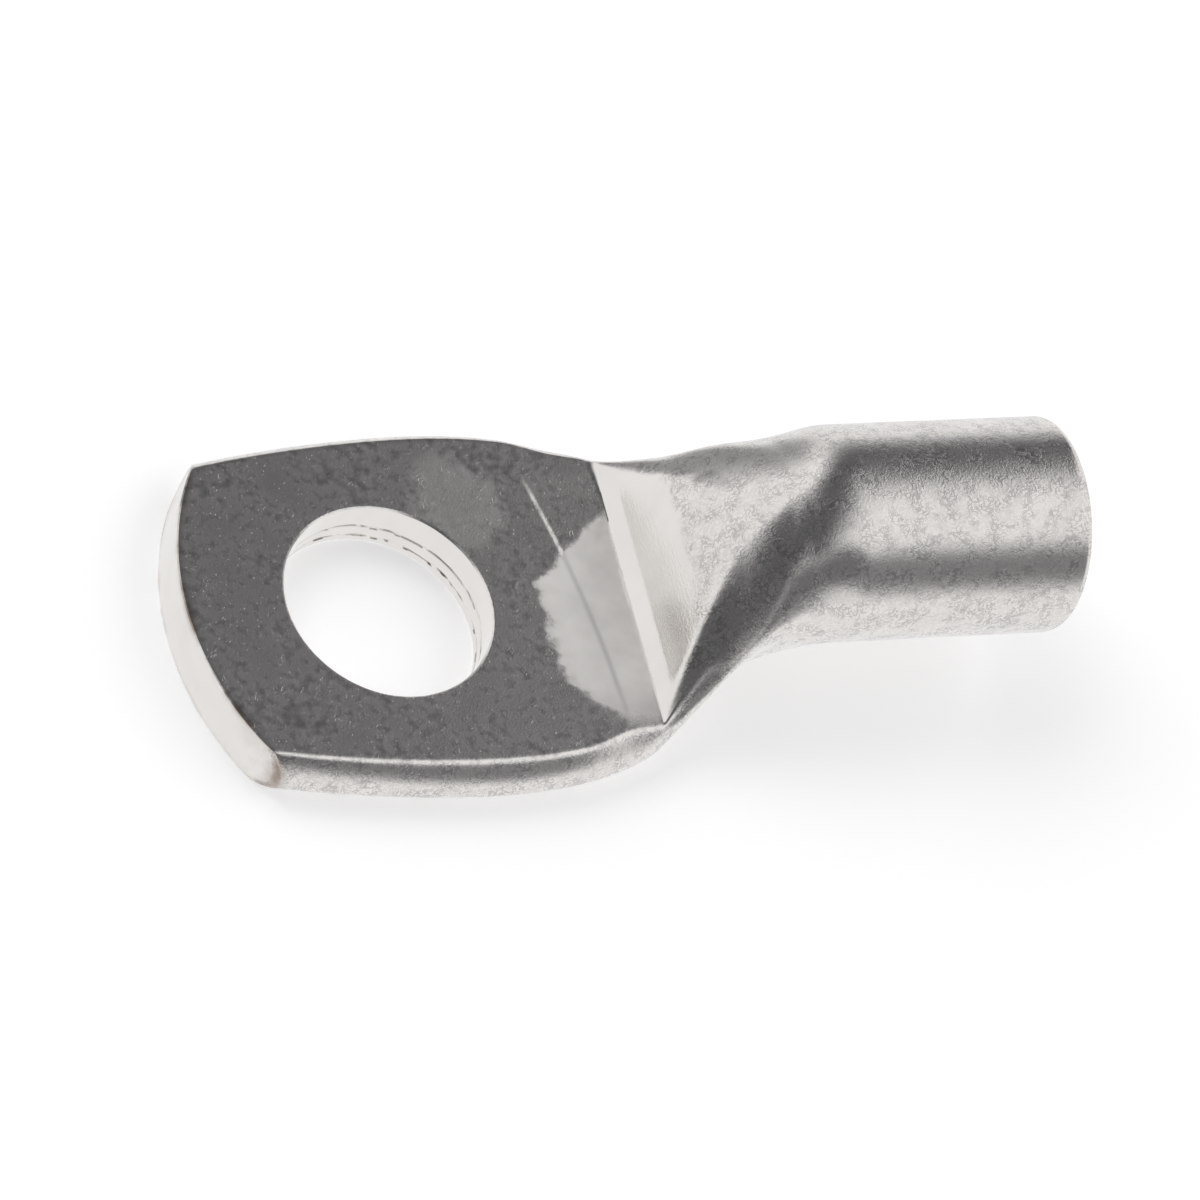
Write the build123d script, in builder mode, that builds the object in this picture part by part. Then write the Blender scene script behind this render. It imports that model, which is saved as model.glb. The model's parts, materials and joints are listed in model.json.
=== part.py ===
"""Copper tube lug, tin plated, for a 12 mm stud and a cable of about 50 mm2.

One length of tube. One end is pressed flat into a palm, punched for the stud and cropped to an arc.
The other end stays a round barrel for the cable.

Millimetres, +Z up. The origin is where the stud's axis meets the palm's underside, and the barrel
runs along +X.
"""

import os
from math import cos, radians, sin, sqrt, tan

from build123d import *

# The tube
barrel_diameter = 13.0
wall = 1.8
barrel_lift = 2.6  # from the palm's underside up to the barrel
barrel_length = 13.8
neck_length = 11.9  # from the fold to where the tube is round again

# The palm
stud_hole_diameter = 13.0
palm_end_x = -12.95
palm_end_radius = 18.2  # in plan
palm_side_radius = 84.0  # in plan
palm_widest = 24.6  # over the bulged sides
palm_widest_x = 6.1

# The upper press face: a flat, a slight dip to the fold, a narrow strip and the steep ramp
fold_x = 15.6
fold_skew = 1.3  # degrees that the fold is turned in plan
dip_length = 3.2
dip_depth = 0.2
strip_length = 1.1
strip_slope = 50.0
ramp_slope = 63.5

# The oval that the tube makes between the press faces, before they cut it flat at palm height
oval_widest_height = 1.45
oval_crown_height = 6.1
oval_fullness = 0.65  # how much higher the crown stands over the palm than at the fold
oval_belly_height = -1.7

# How far before the fold each line of the neck leaves the palm
side_leaves = 18.0
fullness_leaves = 5.6
fullness_ends = 2.3
widest_leaves = 5.0
crown_leaves = -0.5  # past the fold
belly_leaves = 0.2

# How far before the round barrel each line of the neck settles
side_settles = 1.9
widest_settles = 5.8
crown_settles = 3.7
belly_settles = 0.9

# How late the lines bend: 1 is halfway
side_lean = 2.2
height_lean = 2.2
crown_lean = 0.8

# The sides are pinched a little beside the ramp
pinch_depth = 0.9
pinch_from_fold = 4.8
pinch_reach = 6.0

# Edges
corner_radius = 0.5
flat_edge_radius = 0.45
hole_edge_radius = 0.25
mouth_outer_radius = 0.5
mouth_inner_chamfer = 0.3

# Worked out from the sizes above
palm_thickness = 2 * wall  # two walls pressed together
barrel_radius = barrel_diameter / 2
bore_radius = barrel_radius - wall
barrel_axis_height = barrel_lift + barrel_radius
barrel_top_height = barrel_lift + barrel_diameter
barrel_start = fold_x + neck_length
stud_hole_radius = stud_hole_diameter / 2
palm_end_centre_x = palm_end_x + palm_end_radius
neck_start = fold_x - fullness_leaves
inner_shift = wall / 3  # moves the inner lines along, so that a sloping wall keeps its thickness

# The cutting shapes run past the faces that they make
run_out = 2.0
press_length = fold_x - palm_end_x + run_out
press_reach = palm_widest + run_out

# The oval sections, close together where the neck bends
palm_section_count = 7
neck_section_count = 24


def ease(x, start, end, lean):
    """Rises smoothly from 0 at start to 1 at end. A larger lean keeps it low for longer."""
    u = min(max((x - start) / (end - start), 0.0), 1.0) ** lean
    return u * u * (3 - 2 * u)


def neck_line(x, palm_value, barrel_value, leaves, settles, lean):
    """A line's value at x, between its value on the palm and its value on the barrel."""
    rise = ease(x, fold_x - leaves, barrel_start - settles, lean)
    return palm_value + (barrel_value - palm_value) * rise


def side_line(x):
    """Half the tube's width at x: the palm's bowed side, drawn in to the barrel."""
    bow = palm_side_radius - sqrt(palm_side_radius**2 - (x - palm_widest_x) ** 2)
    palm_side = palm_widest / 2 - bow
    from_pinch = min(abs(x - fold_x - pinch_from_fold) / pinch_reach, 1.0)
    pinch = pinch_depth * (1 - from_pinch**2) ** 2
    return neck_line(x, palm_side, barrel_radius, side_leaves, side_settles, side_lean) - pinch


def widest_line(x):
    """Height of the tube's widest place at x."""
    return neck_line(
        x, oval_widest_height, barrel_axis_height, widest_leaves, widest_settles, height_lean
    )


def crown_line(x):
    """Height of the tube's top at x, before the press face cuts it."""
    fuller = oval_fullness * (1 - ease(x, neck_start, fold_x - fullness_ends, 1))
    return fuller + neck_line(
        x, oval_crown_height, barrel_top_height, crown_leaves, crown_settles, crown_lean
    )


def belly_line(x):
    """Height of the tube's bottom at x, before the press face cuts it."""
    return neck_line(x, oval_belly_height, barrel_lift, belly_leaves, belly_settles, height_lean)


def across_tube(x):
    """The plane across the tube at x: its own x is the part's +Y, and its own y is the part's +Z."""
    return Plane(origin=(x, 0, 0), x_dir=(0, 1, 0), z_dir=(1, 0, 0))


def half_oval(centre_height, half_width, height, start_angle):
    """Half an ellipse, from one of the tube's widest points to the other, over or under its centre."""
    centre = (0, centre_height)
    if height > half_width:
        EllipticalCenterArc(centre, height, half_width, start_angle - 90, arc_size=180, rotation=90)
    else:
        EllipticalCenterArc(centre, half_width, height, start_angle, arc_size=180)


def spaced(first, last, count):
    return [first + (last - first) * i / count for i in range(count + 1)]


palm_places = spaced(palm_end_x - run_out, neck_start, palm_section_count)
neck_places = spaced(neck_start, barrel_start, neck_section_count)

# The press face in side view, measured from the fold at the height of the palm's top
strip_end_x = strip_length * cos(radians(strip_slope))
strip_end_height = strip_length * sin(radians(strip_slope)) - dip_depth
ramp_rise = tan(radians(ramp_slope))
ramp_end_x = strip_end_x + press_reach / ramp_rise
ramp_end_height = strip_end_height + press_reach
ramp_foot_x = strip_end_x - (strip_end_height + wall) / ramp_rise  # where its line meets the inside
ramp_wall = wall / sin(radians(ramp_slope))  # its thickness along the tube
press_plane = Plane(
    origin=(fold_x, 0, palm_thickness),
    x_dir=Vector(1, 0, 0).rotate(Axis.Z, -fold_skew),
    z_dir=Vector(0, -1, 0).rotate(Axis.Z, -fold_skew),
)

# The space inside the tube: its outside, drawn in by the wall
with BuildPart() as cable_space:
    for x in [place for place in neck_places if place > fold_x]:
        half_width = side_line(x + inner_shift) - wall
        top = crown_line(x - 2 * inner_shift) - wall
        bottom = belly_line(x + inner_shift) + wall
        share_below = (widest_line(x) - belly_line(x)) / (crown_line(x) - belly_line(x))
        centre = bottom + share_below * (top - bottom)
        with BuildSketch(across_tube(x)):
            with BuildLine():
                half_oval(centre, half_width, top - centre, 0)
                half_oval(centre, half_width, centre - bottom, 180)
            make_face()
    loft()
    with BuildSketch(across_tube(barrel_start)):
        with Locations((0, barrel_axis_height)):
            Circle(bore_radius)
    extrude(amount=barrel_length + run_out)
    split(bisect_by=Plane.XY.offset(wall), keep=Keep.TOP)
    with BuildSketch(press_plane):
        with BuildLine():
            Polyline(
                (-press_length, -wall),
                (ramp_foot_x + ramp_wall, -wall),
                (ramp_end_x + ramp_wall, ramp_end_height),
                (-press_length, ramp_end_height),
                close=True,
            )
        make_face()
    extrude(amount=press_reach, both=True, mode=Mode.SUBTRACT)

with BuildPart() as lug_body:
    # The outside of the tube, from oval to round
    for x in palm_places[:-1] + neck_places:
        centre = widest_line(x)
        with BuildSketch(across_tube(x)):
            with BuildLine():
                half_oval(centre, side_line(x), crown_line(x) - centre, 0)
                half_oval(centre, side_line(x), centre - belly_line(x), 180)
            make_face()
    loft()
    with BuildSketch(across_tube(barrel_start)):
        with Locations((0, barrel_axis_height)):
            Circle(barrel_radius)
    extrude(amount=barrel_length)

    # The flat underside
    split(bisect_by=Plane.XY, keep=Keep.TOP)

    # The flat top, the dip, the strip and the ramp that the upper press face leaves
    with BuildSketch(press_plane):
        with BuildLine():
            Polyline(
                (-press_length, 0),
                (-dip_length, 0),
                (0, -dip_depth),
                (strip_end_x, strip_end_height),
                (ramp_end_x, ramp_end_height),
                (-press_length, ramp_end_height),
                close=True,
            )
        make_face()
    extrude(amount=press_reach, both=True, mode=Mode.SUBTRACT)

    # The cropped end
    with BuildSketch():
        with Locations((palm_end_centre_x, 0)):
            Circle(palm_end_radius)
            Rectangle(
                barrel_start + barrel_length, 2 * palm_end_radius, align=(Align.MIN, Align.CENTER)
            )
    extrude(amount=press_reach, mode=Mode.INTERSECT)

    # The palm's edges: the cropped corners first, then the rims of its two flats
    cropped_face = lug_body.faces().filter_by(GeomType.CYLINDER).sort_by(Axis.X)[0]
    fillet(cropped_face.edges().filter_by(GeomType.CIRCLE, reverse=True), radius=corner_radius)
    for flat in lug_body.faces().filter_by(Axis.Z):
        rim = flat.outer_wire().edges().filter_by(GeomType.LINE, reverse=True)
        fillet(rim, radius=flat_edge_radius)

    # The stud hole
    with Locations((0, 0, palm_thickness)):
        Hole(stud_hole_radius, depth=palm_thickness + run_out)
    fillet(lug_body.edges(Select.LAST).filter_by(GeomType.CIRCLE), radius=hole_edge_radius)

    # The barrel's inside and the two edges of its mouth
    add(cable_space.part, mode=Mode.SUBTRACT)
    inner_edge, outer_edge = lug_body.faces().sort_by(Axis.X)[-1].edges().sort_by(SortBy.RADIUS)
    fillet(outer_edge, radius=mouth_outer_radius)
    chamfer(inner_edge, length=mouth_inner_chamfer)

lug_body.part.label = "lug_body"

os.makedirs("parts", exist_ok=True)
export_step(lug_body.part, "parts/lug_body.step")
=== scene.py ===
"""Tin plated copper tube lug: the tube with its pressed palm, the tin on it, and a plain studio.

The tube's outside and inside follow the same lines as the solid: ovals along the neck, cut flat by
a press. Everything is in metres. The origin is where the stud's axis meets the palm's underside,
and the barrel runs along +X.
"""

import json
import math
from types import SimpleNamespace

import bpy
from bpy.props import FloatProperty, FloatVectorProperty, PointerProperty
from mathutils import Matrix, Vector


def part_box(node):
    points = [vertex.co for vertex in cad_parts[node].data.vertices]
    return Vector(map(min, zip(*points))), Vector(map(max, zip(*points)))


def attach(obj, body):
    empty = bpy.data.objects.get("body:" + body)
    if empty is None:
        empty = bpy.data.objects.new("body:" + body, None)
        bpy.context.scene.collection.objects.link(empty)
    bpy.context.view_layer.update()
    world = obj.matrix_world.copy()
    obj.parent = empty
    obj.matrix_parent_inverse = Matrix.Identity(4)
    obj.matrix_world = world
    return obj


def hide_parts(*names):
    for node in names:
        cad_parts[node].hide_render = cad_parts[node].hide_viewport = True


bl_info = {
    "name": "Tube Lug",
    "version": (1, 0, 0),
    "blender": (4, 5, 0),
    "location": "3D View > Sidebar > Tube Lug",
    "description": "Makes a pressed copper tube lug, its tin plate and a plain studio",
    "category": "Object",
}

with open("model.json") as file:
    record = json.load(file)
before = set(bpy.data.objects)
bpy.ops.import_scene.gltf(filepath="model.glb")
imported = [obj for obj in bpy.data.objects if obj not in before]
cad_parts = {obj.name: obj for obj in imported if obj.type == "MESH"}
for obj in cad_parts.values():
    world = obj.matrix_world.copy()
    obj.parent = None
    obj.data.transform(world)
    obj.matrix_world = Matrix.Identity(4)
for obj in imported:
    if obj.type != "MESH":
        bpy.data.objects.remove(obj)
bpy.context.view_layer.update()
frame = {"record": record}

MM = 0.001
NODE = "lug_body"
BARREL_RADIUS = 6.5 * MM

# What the frame says of the lug
mounts = {mount["name"]: mount for mount in frame["record"]["mounts"]}
lowest_corner, highest_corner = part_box(NODE)
bore_radius = mounts["barrel_bore"]["dims"]["r_mm"] * MM
barrel_axis_height = mounts["barrel_bore"]["pos_m"][2]
palm_thickness = mounts["palm_top"]["pos_m"][2]


def length(name, description, metres):
    return FloatProperty(
        name=name, description=description, default=metres, unit="LENGTH", precision=6
    )


def mm(name, description, millimetres):
    return length(name, description, millimetres * MM)


def number(name, description, value):
    return FloatProperty(name=name, description=description, default=value, precision=4)


def turn(name, description, degrees):
    return FloatProperty(
        name=name, description=description, default=math.radians(degrees), unit="ROTATION"
    )


def colour(name, description, value):
    return FloatVectorProperty(name=name, description=description, subtype="COLOR", default=value)


class LugSizes(bpy.types.PropertyGroup):
    """The lug's sizes, each of them an input of the trees that make its surfaces."""

    barrel_radius: length("Barrel radius", "Outside radius of the round barrel", BARREL_RADIUS)
    axis_height: length("Axis height", "From the underside up to the barrel's axis", barrel_axis_height)
    wall: length("Wall", "Thickness of the tube's wall", BARREL_RADIUS - bore_radius)
    mouth_x: length("Mouth", "Where the barrel ends", highest_corner[0])
    neck_length: mm("Neck length", "From the fold to the round barrel", 11.9)

    thickness: length("Palm thickness", "Two walls pressed together", palm_thickness)
    hole_radius: length("Hole radius", "Radius of the stud hole", mounts["stud_hole"]["dims"]["r_mm"] * MM)
    end_x: length("Palm end", "Where the cropped end stands furthest out", lowest_corner[0])
    end_radius: mm("End radius", "Radius of the cropped end in plan", 18.2)
    side_radius: mm("Side radius", "Radius of the palm's bowed sides in plan", 84.0)
    widest: mm("Palm width", "Width over the palm's sides", 24.6)
    widest_x: mm("Widest place", "Where the palm is widest", 6.1)

    fold_x: mm("Fold", "Where the palm ends and the ramp starts", 15.6)
    fold_skew: turn("Fold skew", "How far the fold is turned in plan", 1.3)
    strip_run: mm("Strip run", "Length in plan of the narrow strip beside the fold", 0.71)
    strip_slope: turn("Strip slope", "Slope of the narrow strip", 50.0)
    ramp_slope: turn("Ramp slope", "Slope of the ramp over the strip", 63.5)
    crease_lead: mm("Crease lead", "From the tool's crease on the palm to the fold", 3.15)
    crease_slant: number("Crease slant", "How far the crease runs askew", -0.134)
    crease_radius: mm("Crease radius", "Radius of the crease in plan", 68.0)
    crease_step: mm("Crease step", "Height of the step at the crease", 0.03)
    crease_width: mm("Crease width", "Width of the step at the crease", 0.16)
    crease_reach: mm("Crease reach", "How far from the middle the crease is full", 6.5)
    crease_gone: mm("Crease gone", "How far from the middle the crease has faded", 8.6)
    dip_depth: mm("Dip depth", "How far the palm sinks between the crease and the fold", 0.14)
    dip_onset: mm("Dip onset", "How far past the patch's edge the dip is full", 2.0)
    sag_slope: number("Sag slope", "Slope of the patch that sags towards the fold", 0.015)
    sag_length: mm("Sag length", "How far past its edge the patch sags", 6.0)
    patch_x: mm("Patch place", "Where the patch before the fold starts", 9.6)
    patch_far_y: mm("Patch far place", "Where its edge turns off on the far side", 0.8)
    patch_near_y: mm("Patch near place", "Where its edge turns off on the near side", -5.4)
    patch_far_slant: number("Patch far slant", "How fast its edge falls back on the far side", 1.25)
    patch_near_slant: number("Patch near slant", "How fast its edge falls back on the near side", 0.7)
    patch_wander: mm("Patch wander", "How far the patch's edge wanders", 0.4)
    fold_drop: mm("Fold drop", "How far below the palm's top the strip starts", 0.2)
    facet_length: mm("Facet", "How far the press touched the ramp past the strip", 1.7)
    facet_middle: mm("Facet middle", "Where the facet is longest", 1.5)
    facet_reach: mm("Facet reach", "From there to the facet's two ends", 11.0)
    facet_wander: mm("Facet wander", "How far the facet's edge wanders", 0.06)
    shoulder_onset: mm("Shoulder onset", "How far past the facet the shoulders are full", 2.2)
    shoulder_room: mm("Shoulder room", "Least width of a shoulder beside the flat", 0.6)
    shoulder_rise: mm("Shoulder rise", "Least height of the top over the widest place", 0.2)
    flank_onset: mm("Flank onset", "From the fold to where the flanks are straightest", 3.0)
    flank_eases: mm("Flank eases", "Where the flanks start to round again", 20.0)
    flank_round: mm("Flank round", "Where the flanks are round again", 27.4)
    apex_x: mm("Apex", "Where the flat between the neck's shoulders ends", 23.0)
    shoulder_spread: number("Shoulder spread", "How fast the flat between the shoulders narrows", 0.5)
    flank_power: number("Flank power", "How straight the flanks are: 2 is an ellipse, 1 is straight", 1.35)
    heel: mm("Heel", "How softly the ramp runs into the barrel's top", 9.0)

    widest_height: mm("Oval height", "Height of the widest place of the palm's oval", 1.45)
    crown_height: mm("Oval crown", "Top of the neck's oval at the fold before it is pressed", 6.1)
    fullness: mm("Palm fullness", "How much the crown stands higher over the palm", 0.65)
    belly_height: mm("Oval belly", "Bottom of the palm's oval before it is pressed", -1.7)
    side_leaves: mm("Side leaves", "How far before the fold the sides draw in", 18.0)
    fullness_leaves: mm("Fullness leaves", "How far before the fold the palm's fullness fades", 5.6)
    fullness_ends: mm("Fullness ends", "How far before the fold the palm's fullness is gone", 2.3)
    widest_leaves: mm("Widest place leaves", "How far before the fold it rises", 5.0)
    crown_leaves: mm("Crown leaves", "How far before the fold the crown rises", -0.5)
    belly_leaves: mm("Belly leaves", "How far before the fold the belly rises", 0.2)
    side_settles: mm("Side settles", "How far before the barrel the sides settle", 1.9)
    widest_settles: mm("Widest place settles", "How far before the barrel it settles", 5.8)
    crown_settles: mm("Crown settles", "How far before the barrel the crown settles", 3.7)
    belly_settles: mm("Belly settles", "How far before the barrel the belly settles", 0.9)
    side_lean: number("Side lean", "How late the sides bend: 1 is halfway", 2.2)
    height_lean: number("Height lean", "How late the neck's heights bend: 1 is halfway", 2.2)
    crown_lean: number("Crown lean", "How late the crown bends: 1 is halfway", 0.8)
    pinch_depth: mm("Pinch depth", "How far the sides are pinched beside the ramp", 0.9)
    pinch_from_fold: mm("Pinch place", "From the fold to the middle of the pinch", 4.8)
    pinch_reach: mm("Pinch reach", "Half the length of the pinch", 6.0)

    corner_radius: mm("Corner radius", "Rounding of the cropped end's upright corners", 0.5)
    rim_radius: mm("Rim radius", "Rounding of the cropped end's rims", 0.1)
    hole_rim: mm("Hole rim", "Rounding of the stud hole's rims", 0.14)
    mouth_rim: mm("Mouth rim", "Rounding of the barrel's outer edge", 0.5)
    mouth_chamfer: mm("Mouth chamfer", "Chamfer of the barrel's inner edge", 0.3)
    flat_softness: mm("Flat softness", "How softly the pressed flats meet the sides", 0.22)
    inner_softness: mm("Inner softness", "How softly the flats meet the sides inside", 0.3)
    seam_share: number("Seam place", "Height of the seam as a share of the palm", 0.44)
    seam_wander: mm("Seam wander", "How far the seam wanders up and down", 0.22)
    seam_width: mm("Seam width", "Half the width of the seam", 0.17)
    seam_depth: mm("Seam depth", "Depth of the seam in the hole's wall", 0.12)
    tear_height: mm("Tear height", "Height of the torn line under the seam", 0.55)
    tear_wander: mm("Tear wander", "How far the torn line wanders up and down", 0.16)
    tear_width: mm("Tear width", "Half the width of the torn line", 0.13)
    tear_depth: mm("Tear depth", "Depth of the torn line", 0.08)
    torn_back: mm("Torn back", "How far the wall under the seam stands back", 0.03)
    punch_grain: mm("Punch grain", "Depth of the grain that the punch leaves", 0.012)


class LugFinish(bpy.types.PropertyGroup):
    """The tin's colour and how it shines."""

    tin_colour: colour("Tin", "Colour of clean tin", (0.80, 0.775, 0.75))
    # Painted highlight: the pale colour of the patch before the fold stands in for the bright light that
    # its sagging surface mirrors
    painted_highlight_colour: colour("Rubbed tin", "Colour of the patch before the fold", (0.97, 0.945, 0.915))
    # The dull colour is also the painted shade along the crease in the patch
    dull_tin_and_crease_shade: colour("Dull tin", "Colour of the tin where it is dull", (0.40, 0.39, 0.385))
    rim_colour: colour("Rim", "Colour of the cropped rim", (0.22, 0.15, 0.11))
    roughness: number("Roughness", "How softly the pressed tin shines", 0.15)
    grain_depth: mm("Grain depth", "Depth of the tin's grain", 0.012)


class LugStudio(bpy.types.PropertyGroup):
    """The camera's place and the studio's light."""

    azimuth: turn("Azimuth", "The camera's direction round the lug", -43.216)
    elevation: turn("Elevation", "The camera's height over the horizon", 50.816)
    roll: turn("Roll", "How far the camera is turned about its own axis", 33.373)
    distance: mm("Distance", "From the camera to the place that it looks at", 639.85)
    lens: number("Lens", "Focal length in millimetres", 326.2)
    light: number("Light", "Strength of the white surroundings", 1.0)


class Wire:
    """A number in a node tree, so that a shape can be written as plain arithmetic."""

    def __init__(self, tree, socket):
        self.tree = tree
        self.socket = socket

    def math(self, operation, *others):
        node = self.tree.nodes.new("ShaderNodeMath")
        node.operation = operation
        for slot, value in zip(node.inputs, (self, *others)):
            connect(self.tree, value, slot)
        return Wire(self.tree, node.outputs[0])

    def __add__(self, other):
        return self.math("ADD", other)

    def __sub__(self, other):
        return self.math("SUBTRACT", other)

    def __rsub__(self, other):
        return self * -1 + other

    def __mul__(self, other):
        return self.math("MULTIPLY", other)

    def __truediv__(self, other):
        return self.math("DIVIDE", other)

    def __pow__(self, other):
        return self.math("POWER", other)

    __radd__ = __add__
    __rmul__ = __mul__

    def share(self, start, end, smooth=False):
        """0 before start, 1 past end, and a straight or smooth rise between them."""
        node = self.tree.nodes.new("ShaderNodeMapRange")
        node.interpolation_type = "SMOOTHSTEP" if smooth else "LINEAR"
        connect(self.tree, self, node.inputs["Value"])
        connect(self.tree, start, node.inputs["From Min"])
        connect(self.tree, end, node.inputs["From Max"])
        return Wire(self.tree, node.outputs["Result"])


def connect(tree, value, slot):
    """Feeds a slot from a wire or a socket, or sets it to a plain value."""
    if isinstance(value, Wire):
        value = value.socket
    if isinstance(value, bpy.types.NodeSocket):
        tree.links.new(value, slot)
    else:
        slot.default_value = value


def new_node(tree, kind, **inputs):
    node = tree.nodes.new(kind)
    for label, value in inputs.items():
        connect(tree, value, node.inputs[label])
    return node


def cosine(angle):
    return angle.math("COSINE")


def sine(angle):
    return angle.math("SINE")


def root(value):
    return value.math("SQRT")


def size_of(value):
    return value.math("ABSOLUTE")


def soft_min(a, b, reach):
    return a.math("SMOOTH_MIN", b, reach)


def soft_max(a, b, reach):
    return a.math("SMOOTH_MAX", b, reach)


def choose(share, low, high):
    return low + (high - low) * share


def hump(distance, reach):
    """1 at no distance, falling smoothly to 0 at the reach on either side."""
    away = size_of(distance / reach).math("MINIMUM", 1.0)
    return (1 - away * away) ** 2


def cloud(tree, place, scale, detail=2.0):
    """Smooth noise round 0, from about -1 to 1."""
    noise = new_node(tree, "ShaderNodeTexNoise", Vector=place, Scale=scale, Detail=detail)
    return Wire(tree, noise.outputs["Fac"]) * 4 - 2


def vector_of(tree, x, y, z):
    node = tree.nodes.new("ShaderNodeCombineXYZ")
    for slot, value in zip(node.inputs, (x, y, z)):
        connect(tree, value, slot)
    return node.outputs["Vector"]


def parts_of(tree, vector):
    """Wires for a vector's x, y and z."""
    split = new_node(tree, "ShaderNodeSeparateXYZ", Vector=vector)
    return [Wire(tree, split.outputs[axis]) for axis in "XYZ"]


# The lines of the tube, each a value at x


def ease(x, start, end, lean):
    """Rises smoothly from 0 at start to 1 at end. A larger lean keeps it low for longer."""
    u = x.share(start, end) ** lean
    return u * u * (3 - 2 * u)


def neck_line(x, lug, palm_value, barrel_value, leaves, settles, lean):
    """A line's value at x, between its value on the palm and its value on the barrel."""
    rise = ease(x, lug.fold_x - leaves, lug.fold_x + lug.neck_length - settles, lean)
    return choose(rise, palm_value, barrel_value)


def side_line(x, lug):
    """Half the tube's width at x: the palm's bowed side, drawn in to the barrel."""
    from_widest = x - lug.widest_x
    bow = lug.side_radius - root(lug.side_radius * lug.side_radius - from_widest * from_widest)
    drawn_in = neck_line(
        x, lug, lug.widest / 2 - bow, lug.barrel_radius, lug.side_leaves, lug.side_settles, lug.side_lean
    )
    return drawn_in - lug.pinch_depth * hump(x - lug.fold_x - lug.pinch_from_fold, lug.pinch_reach)


def widest_line(x, lug):
    """Height of the tube's widest place at x."""
    return neck_line(
        x, lug, lug.widest_height, lug.axis_height, lug.widest_leaves, lug.widest_settles, lug.height_lean
    )


def crown_line(x, lug):
    """Height of the tube's top at x, before the press cuts it."""
    top = lug.axis_height + lug.barrel_radius
    gone = ease(x, lug.fold_x - lug.fullness_leaves, lug.fold_x - lug.fullness_ends, 1.0)
    return lug.fullness * (1 - gone) + neck_line(
        x, lug, lug.crown_height, top, lug.crown_leaves, lug.crown_settles, lug.crown_lean
    )


def belly_line(x, lug):
    """Height of the tube's bottom at x, before the press cuts it."""
    bottom = lug.axis_height - lug.barrel_radius
    return neck_line(x, lug, lug.belly_height, bottom, lug.belly_leaves, lug.belly_settles, lug.height_lean)


def past_fold(x, y, lug):
    """How far x lies past the fold, which runs a little askew."""
    return x - lug.fold_x - y * lug.fold_skew.math("TANGENT")


def past_crease(x, y, lug):
    """How far x lies past the curved crease that the tool left on the palm."""
    crease = lug.fold_x - lug.crease_lead + y * lug.crease_slant - y * y / (lug.crease_radius * 2)
    return x - crease


def past_patch(x, y, lug, edge_noise):
    """How far x lies past the ragged edge of the patch that sags towards the fold."""
    far_side = (y - lug.patch_far_y).math("MAXIMUM", 0.0) * lug.patch_far_slant
    near_side = (lug.patch_near_y - y).math("MAXIMUM", 0.0) * lug.patch_near_slant
    return x - lug.patch_x - far_side - near_side - edge_noise * lug.patch_wander


def ramp_height(x, y, lug):
    """Height of the ramp's plane."""
    foot = lug.thickness - lug.fold_drop + lug.strip_run * lug.strip_slope.math("TANGENT")
    return foot + (past_fold(x, y, lug) - lug.strip_run) * lug.ramp_slope.math("TANGENT")


def press_height(x, y, lug, edge_noise):
    """Height of the upper press face: the flat with its patch, crease and dip, the strip and the ramp."""
    over_crease = past_crease(x, y, lug)
    over_patch = past_patch(x, y, lug, edge_noise)
    sag = over_patch.math("MAXIMUM", 0.0).math("MINIMUM", lug.sag_length) * lug.sag_slope
    dips_here = over_patch.share(0.0, lug.dip_onset, smooth=True)
    to_fold = (over_crease / lug.crease_lead).math("MINIMUM", 1.0).math("MAXIMUM", 0.0)
    dip = lug.dip_depth * dips_here * to_fold
    creased_here = size_of(y).share(lug.crease_gone, lug.crease_reach, smooth=True)
    step = lug.crease_step * creased_here * over_crease.share(0.0, lug.crease_width, smooth=True)
    flat = lug.thickness - sag - dip - step
    strip = lug.thickness - lug.fold_drop + past_fold(x, y, lug) * lug.strip_slope.math("TANGENT")
    return flat.math("MAXIMUM", strip).math("MAXIMUM", ramp_height(x, y, lug))


def shoulder_height(x, y, side, widest, lug):
    """Height of the neck's upper half: a flat that narrows between two rounded shoulders."""
    half_flat = ((lug.apex_x - x) * lug.shoulder_spread).math("MAXIMUM", 0.0)
    half_flat = half_flat.math("MINIMUM", side - lug.shoulder_room)
    top = soft_min(ramp_height(x, y, lug), lug.axis_height + lug.barrel_radius, lug.heel)
    top = top.math("MAXIMUM", widest + lug.shoulder_rise)
    out = ((size_of(y) - half_flat) / (side - half_flat)).math("MAXIMUM", 0.0).math("MINIMUM", 1.0)
    straight = ease(x, lug.fold_x, lug.fold_x + lug.flank_onset, 1.0)
    straight = straight * (1 - ease(x, lug.flank_eases, lug.flank_round, 1.0))
    power = choose(straight, 2.0, lug.flank_power)
    return widest + (top - widest) * (1 - out**power).math("MAXIMUM", 0.0) ** (power**-1)


def oval_point(around, side, widest, crown, belly):
    """The y and z of the oval's point at an angle round it."""
    across = side * cosine(around)
    rise = sine(around)
    above = rise.math("GREATER_THAN", 0.0)
    return across, widest + rise * choose(above, widest - belly, crown - widest)


def along(row, stops):
    """A value that goes straight from stop to stop, each a row and the value there."""
    value = stops[0][1]
    for (first_row, first_value), (last_row, last_value) in zip(stops, stops[1:]):
        value = value + (last_value - first_value) * row.share(first_row, last_row)
    return value


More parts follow.
